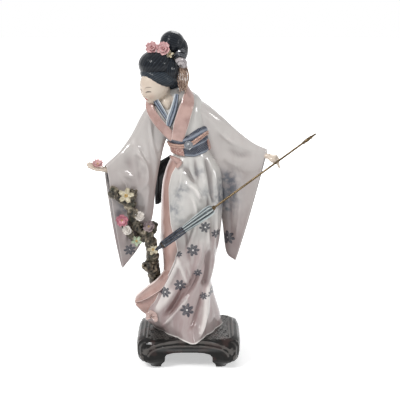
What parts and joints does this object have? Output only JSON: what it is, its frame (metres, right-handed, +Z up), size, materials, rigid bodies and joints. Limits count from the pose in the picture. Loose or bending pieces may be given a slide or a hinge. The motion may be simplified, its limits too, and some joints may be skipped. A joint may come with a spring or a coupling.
{
  "type": "figurine",
  "caption": "Porcelain figurine of a robed geisha with long sleeves, offering a blossom over a flowering branch and holding a closed parasol, on a low dark stand.",
  "frame": {"origin": "level of the stand's feet, below the middle of the whole figurine's width and depth", "axes": "+X to the viewer's right, -Y towards the viewer, +Z up"},
  "size_m": [0.2416, 0.0862, 0.3729],
  "materials": {
    "stand_glaze": "dark glossy glaze",
    "robe_glaze": "glossy glaze",
    "skin_glaze": "soft glaze",
    "bow_glaze": "black glossy glaze",
    "bark_glaze": "thin satin glaze",
    "cream_petals": "satin glaze",
    "white_petals": "satin glaze",
    "pink_petals": "satin glaze",
    "sage_petals": "satin glaze",
    "mauve_petals": "satin glaze",
    "tassel_glaze": "satin glaze",
    "parasol_glaze": "glossy glaze",
    "brass": "polished, lightly aged"
  },
  "bodies": {
    "root": {"stand": "stand_glaze", "robe": "robe_glaze", "head": "skin_glaze", "right_hand": "skin_glaze", "left_hand": "skin_glaze", "obi_bow": "bow_glaze", "branch": "bark_glaze", "cream_star_blossom": "cream_petals", "cream_trunk_blossom": "cream_petals", "cream_hair_blossom_left": "cream_petals", "cream_hair_blossom_right": "cream_petals", "white_rose_upper": "white_petals", "white_rose_lower": "white_petals", "pink_branch_blossom": "pink_petals", "pink_hair_blossom_left": "pink_petals", "pink_hair_blossom_right": "pink_petals", "offered_blossom": "pink_petals", "green_star_blossom": "sage_petals", "mauve_blossom": "mauve_petals", "hair_tassel": "tassel_glaze", "parasol_canopy": "parasol_glaze", "parasol_shaft": "brass", "parasol_handle": "brass"}
  },
  "joints": []
}
